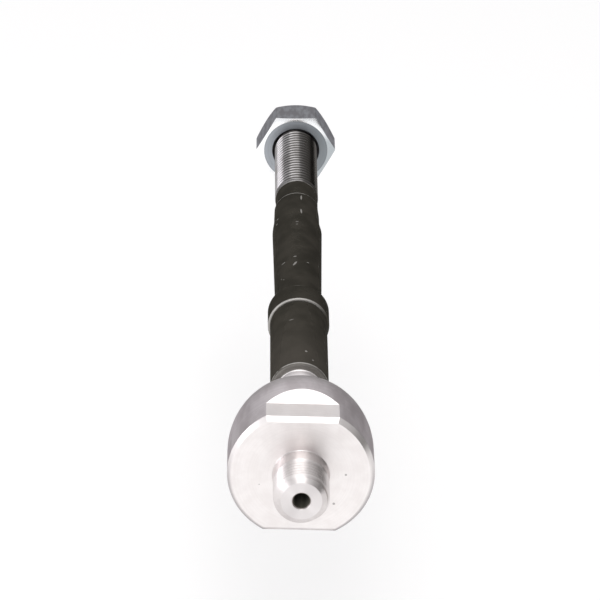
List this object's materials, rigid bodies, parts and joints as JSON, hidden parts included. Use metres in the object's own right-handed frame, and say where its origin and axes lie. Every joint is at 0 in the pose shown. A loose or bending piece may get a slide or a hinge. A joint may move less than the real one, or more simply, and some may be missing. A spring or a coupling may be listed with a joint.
{
  "type": "inner tie rod",
  "caption": "Inner steering tie rod: flat-sided steel ball socket with a threaded rack stud, black forged rod with a collar, male thread and hexagon jam nut.",
  "frame": {"origin": "centre of the socket's rack face, on the axis of the rack stud", "axes": "+Y along the rod from the socket to the threaded end, -Y the way the rack stud points, +Z square to the socket's wrench flats"},
  "size_m": [0.042, 0.263, 0.042],
  "materials": {
    "machined_steel": "bright turned and milled steel, satin",
    "black_steel": "black phosphated and oiled forging, satin, with small bright nicks",
    "zinc_steel": "bright zinc plated, satin",
    "seat_plastic": "natural acetal, matt, greased",
    "spring_steel": "oiled spring steel"
  },
  "bodies": {
    "socket": {"socket_housing": "machined_steel", "disc_spring": "spring_steel"},
    "ring": {"seat_ring": "seat_plastic"},
    "cup": {"seat_cup": "seat_plastic"},
    "rod": {"tie_rod_bar": "black_steel"},
    "nut": {"jam_nut": "zinc_steel"}
  },
  "joints": [
    {"name": "rod_spin", "type": "hinge", "parent": "socket", "child": "ring", "pos_m": [0, 0.022, 0], "axis": [0, 1, 0], "continuous": true},
    {"name": "rod_swing_vertical", "type": "hinge", "parent": "ring", "child": "cup", "pos_m": [0, 0.022, 0], "axis": [1, 0, 0], "range_deg": [-17.5, 17.5]},
    {"name": "rod_swing_sideways", "type": "hinge", "parent": "cup", "child": "rod", "pos_m": [0, 0.022, 0], "axis": [0, 0, 1], "range_deg": [-17.5, 17.5]},
    {"name": "jam_nut_travel", "type": "slide", "parent": "rod", "child": "nut", "axis": [0, 1, 0], "range_m": [-0.039, 0.006]}
  ]
}
